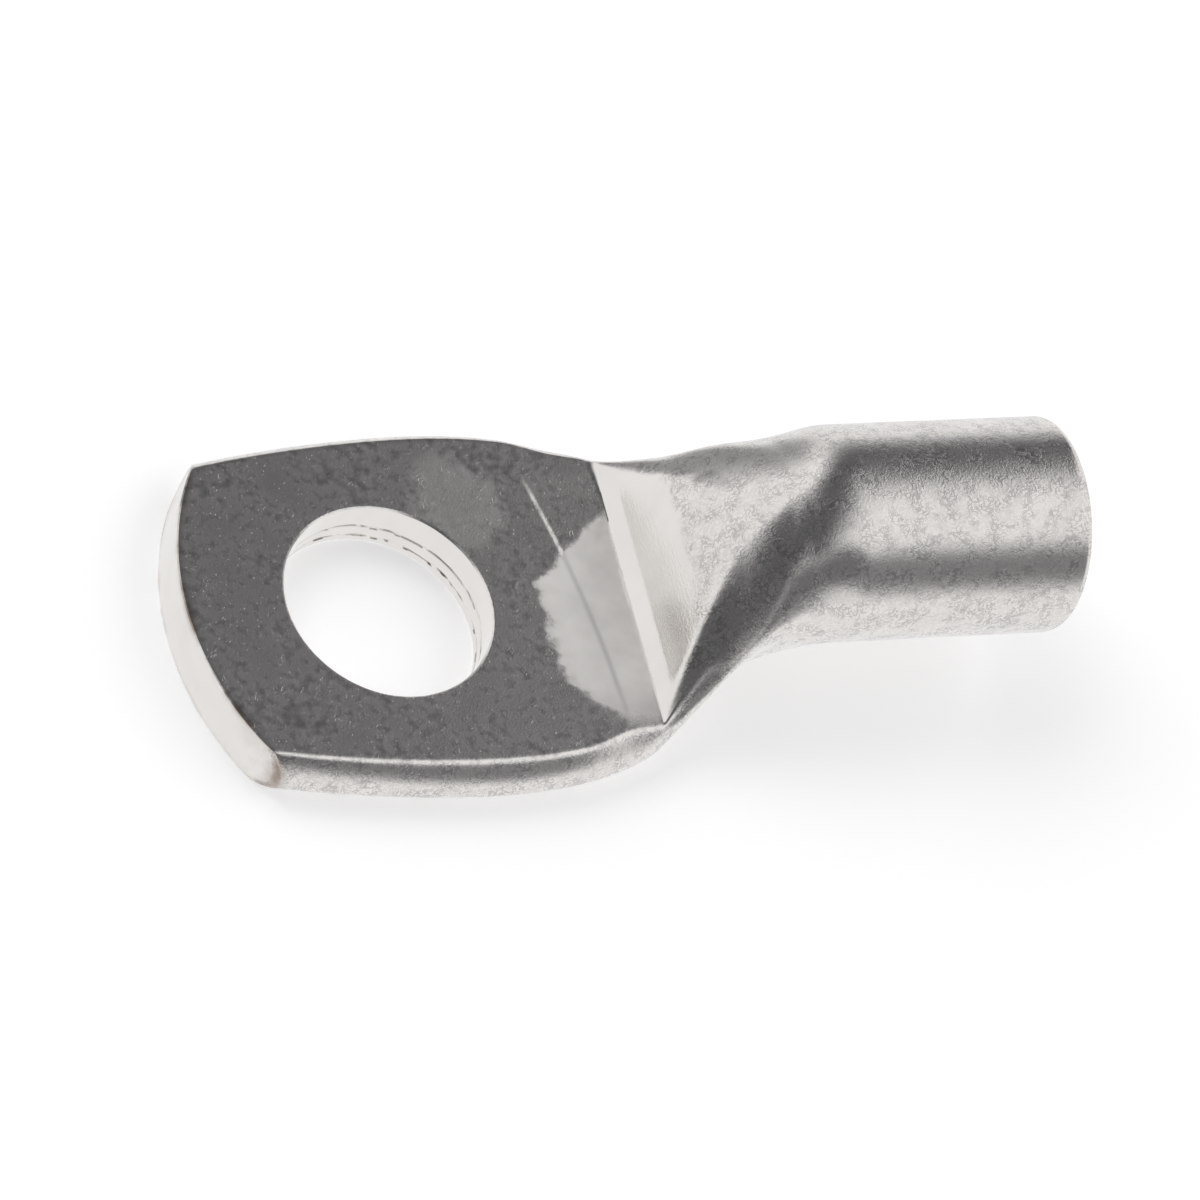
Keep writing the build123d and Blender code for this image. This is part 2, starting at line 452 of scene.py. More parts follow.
def sheet_tree(name, row_count, column_count):
    """A tree with a grid to bend into a sleeve, and wires for its sizes, its rows and its turn."""
    tree = bpy.data.node_groups.new(name, "GeometryNodeTree")
    tree.is_modifier = True
    sizes = {}
    for key, prop in LugSizes.bl_rna.properties.items():
        if prop.type == "FLOAT":
            socket = tree.interface.new_socket(prop.name, in_out="INPUT", socket_type="NodeSocketFloat")
            sizes[key] = socket
    material = tree.interface.new_socket("Material", in_out="INPUT", socket_type="NodeSocketMaterial")
    tree.interface.new_socket("Mesh", in_out="OUTPUT", socket_type="NodeSocketGeometry")
    inlet = tree.nodes.new("NodeGroupInput")
    wires = {key: Wire(tree, socket_named(inlet.outputs, socket)) for key, socket in sizes.items()}
    grid = tree.nodes.new("GeometryNodeMeshGrid")
    grid.inputs["Vertices X"].default_value = row_count
    grid.inputs["Vertices Y"].default_value = column_count
    point = Wire(tree, tree.nodes.new("GeometryNodeInputIndex").outputs["Index"])
    row = ((point + 0.5) / column_count).math("FLOOR")
    round_share = (point - row * column_count) / (column_count - 1)
    return SimpleNamespace(
        tree=tree,
        lug=SimpleNamespace(**wires),
        material=socket_named(inlet.outputs, material),
        grid=grid.outputs["Mesh"],
        row=row,
        last_row=row_count - 1,
        round_share=round_share,
    )


def socket_named(sockets, interface_socket):
    return next(s for s in sockets if s.identifier == interface_socket.identifier)


# How the sleeves are closed, smoothed and shaded
CLOSING_DISTANCE = 0.0005 * MM
CLOSING_SHARE = 0.0001  # of the turn, beside the seam
SMOOTHING_ROUNDS = 40
SHARP_FROM = math.radians(32)


def softened(tree, shape):
    """Smooths the skin, by the share that the mark soft has there."""
    soft = new_node(tree, "GeometryNodeInputNamedAttribute", Name="soft")
    weight = next(o for o in soft.outputs if o.name == "Attribute" and o.enabled)
    blur = new_node(tree, "GeometryNodeBlurAttribute", Iterations=SMOOTHING_ROUNDS, Weight=weight)
    blur.data_type = "FLOAT_VECTOR"
    place = tree.nodes.new("GeometryNodeInputPosition").outputs["Position"]
    tree.links.new(place, next(i for i in blur.inputs if i.name == "Value" and i.enabled))
    smoothed = next(o for o in blur.outputs if o.enabled)
    return new_node(tree, "GeometryNodeSetPosition", Geometry=shape, Position=smoothed).outputs["Geometry"]


def bend(sheet, x, y, z, marks=None):
    """Moves the grid's points to x, y and z, keeps marks on them and closes the sleeve's seam and ends."""
    tree = sheet.tree
    shape = sheet.grid
    marks = marks or {}
    for name, value in marks.items():
        store = new_node(tree, "GeometryNodeStoreNamedAttribute", Geometry=shape, Name=name, Value=value)
        shape = store.outputs["Geometry"]
    move = new_node(tree, "GeometryNodeSetPosition", Geometry=shape, Position=vector_of(tree, x, y, z))
    shape = move.outputs["Geometry"]
    if "soft" in marks:
        shape = softened(tree, shape)
    from_end = sheet.row.math("MINIMUM", sheet.last_row - sheet.row)
    from_seam = sheet.round_share.math("MINIMUM", 1 - sheet.round_share)
    at_rim = from_end.math("LESS_THAN", 0.5).math("MAXIMUM", from_seam.math("LESS_THAN", CLOSING_SHARE))
    merge = new_node(tree, "GeometryNodeMergeByDistance", Geometry=shape, Selection=at_rim)
    merge.inputs["Distance"].default_value = CLOSING_DISTANCE
    return new_node(tree, "GeometryNodeFlipFaces", Mesh=merge.outputs["Geometry"]).outputs["Mesh"]


# How many rows of faces each stretch of the outside has
CAP_ROWS = 10
RIM_ROWS = 6
PALM_ROWS = 80
CREASE_ROWS = 50
STRIP_ROWS = 6
RAMP_ROWS = 26
NECK_ROWS = 37
BARREL_ROWS = 44
MOUTH_ROWS = 8
MOUTH_CAP_ROWS = 1
AROUND = 240
CROWDED_AT_SIDES = 0.3

# Where the outside's rows change their spacing, from the fold
FINE_PALM = 7.0 * MM
FINE_RAMP = 4.5 * MM

# How far the end's arc and the fold's skew bend the rows
ARC_REACH = 11.0 * MM
SKEW_REACH = 9.0 * MM

# Where the marks on the skin start and end, past the line that each follows or at a place
PRESSED_EDGE = (-0.12 * MM, 0.1 * MM)
FACET_EDGE = (0.12 * MM, 0.0)
DRAWN_EDGE = (-0.1 * MM, 0.05 * MM)
PATCH_EDGE = (-0.5 * MM, 1.2 * MM)
PATCH_NEAR_END = (-12.0 * MM, -6.0 * MM)  # across the palm
PATCH_FOLD_END = (0.1 * MM, 0.0)
CREASE_MIDDLE = 0.1 * MM
CREASE_HALF_WIDTH = 0.3 * MM
SOFT_HALF_WIDTH = 3.0 * MM
SOFT_FOLD_END = (-0.3 * MM, 1.5 * MM)
SOFT_BARREL_END = (23.0 * MM, 27.0 * MM)  # along the tube

# The pressed end of the space in the tube
FINE_INSIDE = 4.0 * MM
INSIDE_SLIT = 0.1 * MM

# The rows and columns of the two cutting shapes
INSIDE_ROWS = (3, 26, 30, 12, 3, 2, 3)
INSIDE_AROUND = 128
HOLE_ROWS = (3, 44, 3)
HOLE_AROUND = 256
CUT_BEYOND = 0.3 * MM
TORN_RUN = 0.2 * MM

# Scales of the noise that moves edges, seams and walls, in features per metre
EDGE_SCALE = 900.0
SEAM_SCALE = 300.0
TEAR_SCALE = 420.0
PUNCH_SCALE = 900.0


def running(counts):
    """The row at which each stretch ends."""
    rows = [0]
    for count in counts:
        rows.append(rows[-1] + count)
    return rows


def end_arc(y, lug):
    """How far the cropped end stands back at y from its furthest point."""
    return lug.end_radius - root(lug.end_radius * lug.end_radius - y * y)


def outside_tree():
    """The tube's outside: the cropped end, the palm, the neck and the barrel, closed at the mouth."""
    rows = running(
        (
            CAP_ROWS, RIM_ROWS, PALM_ROWS, CREASE_ROWS, STRIP_ROWS,
            RAMP_ROWS, NECK_ROWS, BARREL_ROWS, MOUTH_ROWS, MOUTH_CAP_ROWS,
        )
    )
    sheet = sheet_tree("Lug outside", rows[-1] + 1, AROUND + 1)
    lug, row = sheet.lug, sheet.row
    full_turn = sheet.round_share * math.tau
    around = full_turn + sine(full_turn) * CROWDED_AT_SIDES - math.pi / 2

    # The roundings at the two ends, as shares of the section's size
    end_turn = row.share(rows[1], rows[2]) * (math.pi / 2)
    mouth_turn = row.share(rows[8], rows[9]) * (math.pi / 2)
    end_inset = 1 - sine(end_turn)
    mouth_inset = 1 - cosine(mouth_turn)
    start_cap = row.share(rows[0], rows[1])
    mouth_cap = 1 - row.share(rows[9], rows[10])
    mouth_share = 1 - mouth_inset * lug.mouth_rim / lug.barrel_radius
    both_ends = mouth_share * start_cap * mouth_cap
    width_share = (1 - end_inset * lug.corner_radius / (lug.widest / 2)) * both_ends
    height_share = (1 - end_inset * lug.rim_radius / (lug.thickness / 2)) * both_ends

    # Where each row stands along the tube, before the end's arc and the fold's skew
    stretch = along(
        row,
        [
            (rows[2], lug.end_x + lug.rim_radius),
            (rows[3], lug.fold_x - FINE_PALM),
            (rows[4], lug.fold_x),
            (rows[5], lug.fold_x + lug.strip_run),
            (rows[6], lug.fold_x + FINE_RAMP),
            (rows[7], lug.fold_x + lug.neck_length),
            (rows[8], lug.mouth_x - lug.mouth_rim),
        ],
    )
    stretch = stretch - lug.rim_radius * cosine(end_turn) * row.math("LESS_THAN", rows[2] + 0.5)
    stretch = stretch + lug.mouth_rim * sine(mouth_turn)
    arc_share = 1 - stretch.share(lug.end_x, lug.end_x + ARC_REACH, smooth=True)
    skew_share = hump(stretch - lug.fold_x, SKEW_REACH)

    def placed(y):
        skew = lug.fold_skew.math("TANGENT") * y * skew_share
        return stretch + end_arc(y, lug) * arc_share + skew

    # The half width depends on x and x on y, so two rounds bring them together
    y = side_line(stretch, lug) * cosine(around) * width_share
    for _ in range(2):
        x = placed(y)
        y = side_line(x, lug) * cosine(around) * width_share
    x = placed(y)

    widest, crown, belly = widest_line(x, lug), crown_line(x, lug), belly_line(x, lug)
    side = side_line(x, lug)
    full_across, height = oval_point(around, side, widest, crown, belly)
    upper = sine(around).math("GREATER_THAN", 0.0)
    edge_noise = cloud(sheet.tree, vector_of(sheet.tree, x, full_across, 0.0), EDGE_SCALE)
    from_middle = (full_across - lug.facet_middle) / lug.facet_reach
    facet = lug.facet_length * (1 - from_middle * from_middle).math("MAXIMUM", 0.0)
    facet = facet + edge_noise * lug.facet_wander
    over_fold = past_fold(x, full_across, lug)
    over_facet = over_fold - lug.strip_run - facet
    shouldered = over_facet.share(0.0, lug.shoulder_onset, smooth=True) * upper
    height = choose(shouldered, height, shoulder_height(x, full_across, side, widest, lug))
    pressed_to = press_height(x, full_across, lug, edge_noise)
    sheared = row.math("LESS_THAN", rows[1] + 0.5)
    touched = (height - pressed_to).share(*PRESSED_EDGE, smooth=True) * over_facet.share(*FACET_EDGE)
    soft_start, soft_full = SOFT_FOLD_END
    marks = {
        "pressed": touched.math("MAXIMUM", sheared),
        "drawn": (touched * over_fold.share(*DRAWN_EDGE)).math("MAXIMUM", sheared),
        # The patch and crease marks also place the tin's painted highlight and painted shade
        "patch": touched
        * past_patch(x, full_across, lug, edge_noise).share(*PATCH_EDGE)
        * full_across.share(*PATCH_NEAR_END, smooth=True)
        * over_fold.share(*PATCH_FOLD_END),
        "crease": touched * hump(past_crease(x, full_across, lug) - CREASE_MIDDLE, CREASE_HALF_WIDTH),
        "soft": hump(height - widest, SOFT_HALF_WIDTH)
        * x.share(lug.fold_x + soft_start, lug.fold_x + soft_full, smooth=True)
        * (1 - x.share(*SOFT_BARREL_END, smooth=True)),
        "rim": hump(row - (rows[1] + rows[2]) / 2, RIM_ROWS),
    }
    height = soft_min(height, pressed_to, lug.flat_softness)
    height = soft_max(height, 0.0, lug.flat_softness)
    middle = choose(row.share(rows[5], rows[7]), lug.thickness / 2, lug.axis_height)
    z = middle + (height - middle) * height_share
    sheet.made = bend(sheet, x, y, z, marks)
    return sheet


def inside_tree():
    """The space in the tube, from the pressed end to past the mouth."""
    rows = running(INSIDE_ROWS)
    sheet = sheet_tree("Lug inside", rows[-1] + 1, INSIDE_AROUND + 1)
    lug, row = sheet.lug, sheet.row
    around = sheet.round_share * math.tau - math.pi / 2
    strip_rise = lug.strip_run * lug.strip_slope.math("TANGENT") + lug.wall
    ramp_rise = lug.ramp_slope.math("TANGENT")
    foot = lug.strip_run - strip_rise / ramp_rise + lug.wall / lug.ramp_slope.math("SINE")
    x = along(
        row,
        [
            (rows[1], lug.fold_x + foot),
            (rows[2], lug.fold_x + foot + FINE_INSIDE),
            (rows[3], lug.fold_x + lug.neck_length),
            (rows[4], lug.mouth_x - lug.mouth_chamfer),
            (rows[5], lug.mouth_x),
            (rows[6], lug.mouth_x + lug.mouth_chamfer),
        ],
    )
    flare = row.share(rows[4], rows[6]) * lug.mouth_chamfer * 2
    shift = lug.wall / 3
    side = side_line(x + shift, lug) - lug.wall + flare
    top = crown_line(x - shift * 2, lug) - lug.wall + flare
    bottom = belly_line(x + shift, lug) + lug.wall - flare
    widest, crown, belly = widest_line(x, lug), crown_line(x, lug), belly_line(x, lug)
    middle = bottom + (widest - belly) / (crown - belly) * (top - bottom)
    y, height = oval_point(around, side, middle, top, bottom)
    over_foot = past_fold(x, y, lug) - foot
    height = soft_min(height, lug.wall + over_foot * ramp_rise + INSIDE_SLIT / 2, lug.inner_softness)
    height = soft_max(height, lug.wall, lug.inner_softness)
    cap = row.share(rows[0], rows[1]) * (1 - row.share(rows[6], rows[7]))
    centre = choose(row.share(rows[3], rows[4]), lug.wall + INSIDE_SLIT, lug.axis_height)
    sheet.made = bend(sheet, x, y * cap, centre + (height - centre) * cap)
    return sheet


def hole_tree():
    """The punch's way through the palm: flared at both rims, with the seam of the two walls."""
    rows = running(HOLE_ROWS)
    sheet = sheet_tree("Lug stud hole", rows[-1] + 1, HOLE_AROUND + 1)
    tree, lug, row = sheet.tree, sheet.lug, sheet.row
    around = sheet.round_share * -math.tau
    z = choose(row.share(rows[1], rows[2]), lug.thickness + CUT_BEYOND, -CUT_BEYOND)
    ring = vector_of(tree, cosine(around) * lug.hole_radius, sine(around) * lug.hole_radius, 0.0)
    solid_ring = vector_of(tree, cosine(around) * lug.hole_radius, sine(around) * lug.hole_radius, z)
    to_face = (lug.thickness / 2 - size_of(z - lug.thickness / 2)).share(0.0, lug.hole_rim)
    flare = lug.hole_rim * (1 - root(1 - (1 - to_face) ** 2))
    seam_height = lug.thickness * lug.seam_share + cloud(tree, ring, SEAM_SCALE) * lug.seam_wander
    seam = hump(z - seam_height, lug.seam_width) * lug.seam_depth
    tear_at = lug.tear_height + cloud(tree, ring, TEAR_SCALE) * lug.tear_wander
    tear = hump(z - tear_at, lug.tear_width) * lug.tear_depth
    torn = z.share(seam_height, seam_height - TORN_RUN, smooth=True) * lug.torn_back
    rough = cloud(tree, solid_ring, PUNCH_SCALE) * lug.punch_grain
    radius = lug.hole_radius + flare + seam + tear + torn + rough * (1 - flare / lug.hole_rim)
    cap = row.share(rows[0], rows[1]) * (1 - row.share(rows[2], rows[3]))
    marks = {"pressed": 1.0, "drawn": 1.0}
    sheet.made = bend(sheet, cosine(around) * radius * cap, sine(around) * radius * cap, z, marks)
    return sheet


def finished_tree(sheet):
    """The sheet's tree, ended with its material set."""
    tree = sheet.tree
    whole = new_node(tree, "GeometryNodeRealizeInstances", Geometry=sheet.made).outputs["Geometry"]
    tinned = new_node(tree, "GeometryNodeSetMaterial", Geometry=whole, Material=sheet.material)
    new_node(tree, "NodeGroupOutput", Mesh=tinned.outputs["Geometry"])
    return tree


def new_object(name, data):
    """A new object, linked to the scene."""
    made = bpy.data.objects.new(name, data)
    bpy.context.scene.collection.objects.link(made)
    return made


def made_mesh(name, sheet, sizes, material):
    """Runs the sheet's tree on an empty object with the given sizes and returns the plain mesh."""
    tree = finished_tree(sheet)
    holder = new_object(name, bpy.data.meshes.new(name))
    modifier = holder.modifiers.new(name, "NODES")
    modifier.node_group = tree
    props = sizes.bl_rna.properties.items()
    by_name = {prop.name: getattr(sizes, key) for key, prop in props if prop.type == "FLOAT"}
    for socket in tree.interface.items_tree:
        if socket.in_out == "INPUT":
            modifier[socket.identifier] = material if socket.name == "Material" else by_name[socket.name]
    evaluated = holder.evaluated_get(bpy.context.evaluated_depsgraph_get())
    mesh = bpy.data.meshes.new_from_object(evaluated)
    holder.modifiers.remove(modifier)
    bpy.data.objects.remove(holder)
    return mesh


class LUG_OT_body(bpy.types.Operator):
    """Make the lug's body: the pressed tube, less the space in it and the stud hole"""

    bl_idname = "lug.body"
    bl_label = "Make Lug Body"

    def execute(self, context):
        sizes = context.scene.lug_sizes
        tin = tin_material(context.scene.lug_finish)
        outside, inside, hole = outside_tree(), inside_tree(), hole_tree()
        body = new_object("tube_lug", made_mesh("tube_lug", outside, sizes, tin))
        for sheet in (inside, hole):
            name = sheet.tree.name
            cut = body.modifiers.new(name, "BOOLEAN")
            cut.operation = "DIFFERENCE"
            cut.solver = "MANIFOLD"
            cut.object = new_object(name, made_mesh(name, sheet, sizes, tin))
        evaluated = body.evaluated_get(context.evaluated_depsgraph_get())
        mesh = bpy.data.meshes.new_from_object(evaluated)
        body.modifiers.clear()
        for sheet in (inside, hole):
            bpy.data.objects.remove(bpy.data.objects[sheet.tree.name])
        body.data = mesh
        mesh.shade_smooth()
        mesh.set_sharp_from_angle(angle=SHARP_FROM)
        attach(body, "root")
        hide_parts(NODE)
        return {"FINISHED"}


def shader_group(name, inputs, outputs):
    """An empty shader node group with named inputs and outputs, and wires for the inputs."""
    group = bpy.data.node_groups.new(name, "ShaderNodeTree")
    for label, kind in inputs:
        group.interface.new_socket(label, in_out="INPUT", socket_type=kind)
    for label, kind in outputs:
        group.interface.new_socket(label, in_out="OUTPUT", socket_type=kind)
    inlet = group.nodes.new("NodeGroupInput")
    outlet = group.nodes.new("NodeGroupOutput")
    return group, {label: Wire(group, inlet.outputs[label]) for label, _ in inputs}, outlet


def stretched(tree, place, across):
    """Object coordinates squeezed along each axis by its share of across."""
    return new_node(tree, "ShaderNodeMapping", Vector=place, Scale=across).outputs["Vector"]


# The tin's noises, in features per metre, and how two of them are stretched
GRAIN_SCALE = 7000.0
STROKE_SCALE = 1500.0
SECOND_STROKE_SCALE = 2500.0
SECOND_STROKE_STRETCH = (1.0, 1.3, 0.8)
CLUMP_SCALE = 1000.0
SPECK_SCALE = 5200.0
CURL_SCALE = 1300.0
CURL_PLACE_SCALE = 800.0
BLOOM_SCALE = 420.0
MOTTLE_SCALE = 1700.0
DRAW_SCALE = 700.0
DRAW_STRETCH = (14.0, 1.0, 6.0)

# The curled strokes: how far they curl, and half their width in the noise
STROKE_CURL = 1.3
STROKE_HALF_WIDTH = 0.075

# The noise at which specks, curls and clumps start, and at which they are full
SPECK_RANGE = (0.8, 1.1)
CURL_RANGE = (0.4, 0.8)
CLUMP_RANGE = (-0.5, 0.5)

# How high each noise stands, as a share of the grain's depth
GRAIN_HEIGHT = 0.1
FREE_GRAIN_HEIGHT = 0.06  # more, where no press touched
STROKE_HEIGHT = 0.24
SPECK_HEIGHT = 0.35
CURL_HEIGHT = 0.3
DRAW_HEIGHT = 0.05
FAINT_STROKE = 0.3  # strength of a stroke between the clumps


def worms(tree, place, scale):
    """Short curled strokes: 1 on their middle lines and 0 between them."""
    noise = new_node(tree, "ShaderNodeTexNoise", Vector=place, Scale=scale, Detail=1.0)
    noise.inputs["Distortion"].default_value = STROKE_CURL
    away = size_of(Wire(tree, noise.outputs["Fac"]) - 0.5)
    return 1 - away.share(0.0, STROKE_HALF_WIDTH, smooth=True)


def tin_grain_group():
    """The tin's grain, strokes and draw marks: one height, and the masks that colour the tin."""
    scalar, vector = "NodeSocketFloat", "NodeSocketVector"
    group, wires, outlet = shader_group(
        "tin grain",
        [("Place", vector), ("Pressed", scalar), ("Drawn", scalar), ("Depth", scalar)],
        [("Height", scalar), ("Bloom", scalar), ("Mottle", scalar), ("Stroke", scalar)],
    )
    place = wires["Place"].socket
    pressed, drawn = wires["Pressed"], wires["Drawn"]
    free = 1 - pressed
    palm = pressed * (1 - drawn)
    fine = cloud(group, place, GRAIN_SCALE, 3.0)
    speck = cloud(group, place, SPECK_SCALE, 1.0).share(*SPECK_RANGE, smooth=True)
    curled_here = cloud(group, place, CURL_PLACE_SCALE).share(*CURL_RANGE, smooth=True)
    curl = worms(group, place, CURL_SCALE) * curled_here
    second = worms(group, stretched(group, place, SECOND_STROKE_STRETCH), SECOND_STROKE_SCALE)
    clumps = cloud(group, place, CLUMP_SCALE).share(*CLUMP_RANGE, smooth=True)
    strokes = worms(group, place, STROKE_SCALE).math("MAXIMUM", second)
    strokes = strokes * (FAINT_STROKE + clumps * (1 - FAINT_STROKE))
    draw_marks = cloud(group, stretched(group, place, DRAW_STRETCH), DRAW_SCALE, 3.0)
    height = fine * (GRAIN_HEIGHT + free * FREE_GRAIN_HEIGHT)
    height = height + (speck * SPECK_HEIGHT + curl * CURL_HEIGHT) * palm
    height = height - strokes * free * STROKE_HEIGHT
    height = height + draw_marks * drawn * DRAW_HEIGHT
    made = {
        "Height": height * wires["Depth"],
        "Bloom": cloud(group, place, BLOOM_SCALE, 4.0),
        "Mottle": cloud(group, place, MOTTLE_SCALE, 4.0),
        "Stroke": strokes,
    }
    for label, value in made.items():
        connect(group, value, outlet.inputs[label])
    return group


def attribute(tree, name):
    node = tree.nodes.new("ShaderNodeAttribute")
    node.attribute_name = name
    return Wire(tree, node.outputs["Fac"])


def mixed_colour(tree, share, low, high):
    node = tree.nodes.new("ShaderNodeMix")
    node.data_type = "RGBA"
    connect(tree, share, node.inputs["Factor"])
    for label, tint in (("A", low), ("B", high)):
        slot = next(i for i in node.inputs if i.name == label and i.type == "RGBA")
        connect(tree, tint if isinstance(tint, bpy.types.NodeSocket) else (*tint, 1.0), slot)
    return next(o for o in node.outputs if o.type == "RGBA")


# The smoother spot of the palm, between the hole and the crease: its middle and its two radii
SPOT_X, SPOT_Y = 6.4 * MM, 6.8 * MM
SPOT_ALONG, SPOT_ACROSS = 3.2 * MM, 3.4 * MM
SPOT_RAGGED = 0.5
SPOT_EDGE = (1.2, 0.6)

# The patch's painted highlight: its ragged edge, and its strength towards the near side
PATCH_RAGGED = 0.16
PATCH_RANGE = (0.2, 0.7)
PATCH_FAINT = 0.35
PATCH_FAINT_END = (-10.5 * MM, -5.5 * MM)  # across the palm

# How far the patch's painted highlight takes the metal out of the tin and how pale it paints it, and how
# much of each follows a noise
PATCH_HIGHLIGHT_UNMETAL, HIGHLIGHT_UNMETAL_MOTTLE = 0.9, 0.08
PATCH_PALE, PALE_BLOOM = 0.7, 0.5

# How dull the tin is, everywhere and where each mark or noise adds to it or takes from it
DULL_EVERYWHERE = 0.2
DULL_BLOOM = 0.06
DULL_PALM_BLOOM = 0.5
DULL_PALM_MOTTLE = 0.65
DULL_STROKES = 0.7
MEAN_STROKE = 0.25
LESS_ON_PALM = 0.1
LESS_WHERE_DRAWN = 0.18
LESS_ON_SPOT = 0.6
# Painted shade: how dark the crease line in the patch is painted, in the dull colour
CREASE_PAINTED_SHADE = 0.45
BROWN_RIM = 0.8
BROWN_RANGE = (-0.5, 0.6)

# What each mark or noise adds to the tin's roughness
ROUGH_BLOOM = 0.03
ROUGH_FREE = 0.05
ROUGH_PATCH = 0.15
ROUGH_SPOT = 0.06
ROUGH_PALM = 0.045


def smooth_spot_share(x, y, ragged):
    """1 on the smoother spot of the palm and 0 away from it."""
    along_spot = (x - SPOT_X) / SPOT_ALONG
    across_spot = (y - SPOT_Y) / SPOT_ACROSS
    away = along_spot * along_spot + across_spot * across_spot + ragged * SPOT_RAGGED
    return away.share(*SPOT_EDGE, smooth=True)


def new_material(name):
    material = bpy.data.materials.new(name)
    material.use_nodes = True
    return material, material.node_tree, material.node_tree.nodes["Principled BSDF"]


def tin_material(finish):
    """Tin plate: satin metal with a fine grain, curled strokes and draw marks, with a painted highlight on
    the patch before the fold and painted shade along its crease.
    """
    material, tree, shader = new_material("tin plate")
    place = tree.nodes.new("ShaderNodeTexCoord").outputs["Object"]
    pressed, drawn = attribute(tree, "pressed"), attribute(tree, "drawn")
    grain = tree.nodes.new("ShaderNodeGroup")
    grain.node_tree = tin_grain_group()
    grain_inputs = {"Place": place, "Pressed": pressed, "Drawn": drawn, "Depth": finish.grain_depth}
    for label, value in grain_inputs.items():
        connect(tree, value, grain.inputs[label])
    bump = new_node(tree, "ShaderNodeBump", Height=grain.outputs["Height"], Distance=1.0)
    tree.links.new(bump.outputs["Normal"], shader.inputs["Normal"])

    # Where the tin is pressed, where it gets the patch's painted highlight and the crease's painted shade,
    # and where it is smooth
    bloom, mottle, stroke = (Wire(tree, grain.outputs[label]) for label in ("Bloom", "Mottle", "Stroke"))
    along_it, across, _ = parts_of(tree, place)
    free = 1 - pressed
    palm = pressed * (1 - drawn)
    # Painted highlight: the patch is painted pale and less metallic where its tilted surface mirrors bright
    # light
    patch = (attribute(tree, "patch") + mottle * PATCH_RAGGED).share(*PATCH_RANGE, smooth=True)
    patch = patch * (PATCH_FAINT + across.share(*PATCH_FAINT_END, smooth=True) * (1 - PATCH_FAINT))
    # Painted shade along the crease, inside the patch
    crease_shade_share = attribute(tree, "crease") * patch
    smooth_spot = smooth_spot_share(along_it, across, bloom) * palm

    # How dull and how brown it is, and where the patch's painted highlight and the crease's painted shade
    # go
    dull = bloom * (DULL_BLOOM + palm * DULL_PALM_BLOOM) + mottle * palm * DULL_PALM_MOTTLE
    dull = dull + DULL_EVERYWHERE + (stroke - MEAN_STROKE) * free * DULL_STROKES
    dull = dull - palm * LESS_ON_PALM - drawn * LESS_WHERE_DRAWN
    dull = dull * (1 - patch) * (1 - smooth_spot * LESS_ON_SPOT)
    browned = attribute(tree, "rim") * bloom.share(*BROWN_RANGE) * BROWN_RIM
    tinned = mixed_colour(tree, dull, finish.tin_colour, finish.dull_tin_and_crease_shade)
    # Painted highlight on the patch
    tinned = mixed_colour(tree, patch * (PATCH_PALE + bloom * PALE_BLOOM), tinned, finish.painted_highlight_colour)
    # Painted shade along the crease
    tinned = mixed_colour(tree, crease_shade_share * CREASE_PAINTED_SHADE, tinned, finish.dull_tin_and_crease_shade)
    tinned = mixed_colour(tree, browned, tinned, finish.rim_colour)
    tree.links.new(tinned, shader.inputs["Base Color"])

    # How it shines, and where the patch's painted highlight takes out the metal
    painted_highlight_unmetal = patch * (PATCH_HIGHLIGHT_UNMETAL + mottle * HIGHLIGHT_UNMETAL_MOTTLE)
    connect(tree, 1 - painted_highlight_unmetal, shader.inputs["Metallic"])
    rough = bloom * ROUGH_BLOOM + finish.roughness + free * ROUGH_FREE + patch * ROUGH_PATCH
    rough = rough + smooth_spot * ROUGH_SPOT + palm * ROUGH_PALM
    connect(tree, rough, shader.inputs["Roughness"])
    return material


# The room's dark band lies square to a direction. It starts at a height and leaves out one side
BAND_ACROSS = (0.768, -0.639, 0.05)
BAND_FULL, BAND_NONE = 10.0, 34.0  # degrees
BAND_HIGH = (-0.1, 0.4)
BAND_SIDE = (0.3, 0.41)
BAND_SIDE_SLANT = 0.35

# Its other dark places: where each lies, the degrees within which it is full and at which it is
# gone, and how dark it is
DARK_PLACES = (
    ((-0.86, -0.25, 0.42), 18.0, 38.0, 1.0),
    ((0.46, -0.86, 0.2), 9.0, 35.0, 0.87),
    ((0.0, -0.92, 0.38), 12.0, 29.0, 0.95),
    ((-0.2, 0.96, -0.12), 13.0, 34.0, 0.75),
)
DARK_BLEND = 0.1
WHITE = (1.0, 1.0, 1.0)
DARK = (0.12, 0.12, 0.125)

# The floor and the lamp, in metres and watts
FLOOR_HALF_SIDE = 1.5
FLOOR_GLOW = 0.43  # seen by the camera alone, so that the floor is white
LAMP_SIDE = 0.6
LAMP_POWER = 2.0
LAMP_PLACE = (-0.3, 0.5, 0.9)
LAMP_AIM = (0.014, 0.0, 0.0)

# The camera
LOOKED_AT = (11.198, -3.181, 7.96)  # millimetres
SENSOR_WIDTH = 36.0  # millimetres
CLIP_START = 0.01


def toward(tree, direction, wanted):
    """The cosine of the angle between a direction and a wanted one."""
    node = tree.nodes.new("ShaderNodeVectorMath")
    node.operation = "DOT_PRODUCT"
    tree.links.new(direction, node.inputs[0])
    node.inputs[1].default_value = Vector(wanted).normalized()
    return Wire(tree, node.outputs["Value"])


def panel_share(tree, direction, wanted, full, none):
    """1 within full degrees of the wanted direction, falling smoothly to 0 at none degrees."""
    angle = toward(tree, direction, wanted).math("ARCCOSINE")
    return angle.share(math.radians(none), math.radians(full), smooth=True)


def strip_share(tree, direction, across, full, none):
    """1 within full degrees of the great circle square to across, falling to 0 at none degrees."""
    off = size_of(toward(tree, direction, across).math("ARCSINE"))
    return off.share(math.radians(none), math.radians(full), smooth=True)


def seen_by_camera(tree):
    return Wire(tree, tree.nodes.new("ShaderNodeLightPath").outputs["Is Camera Ray"])


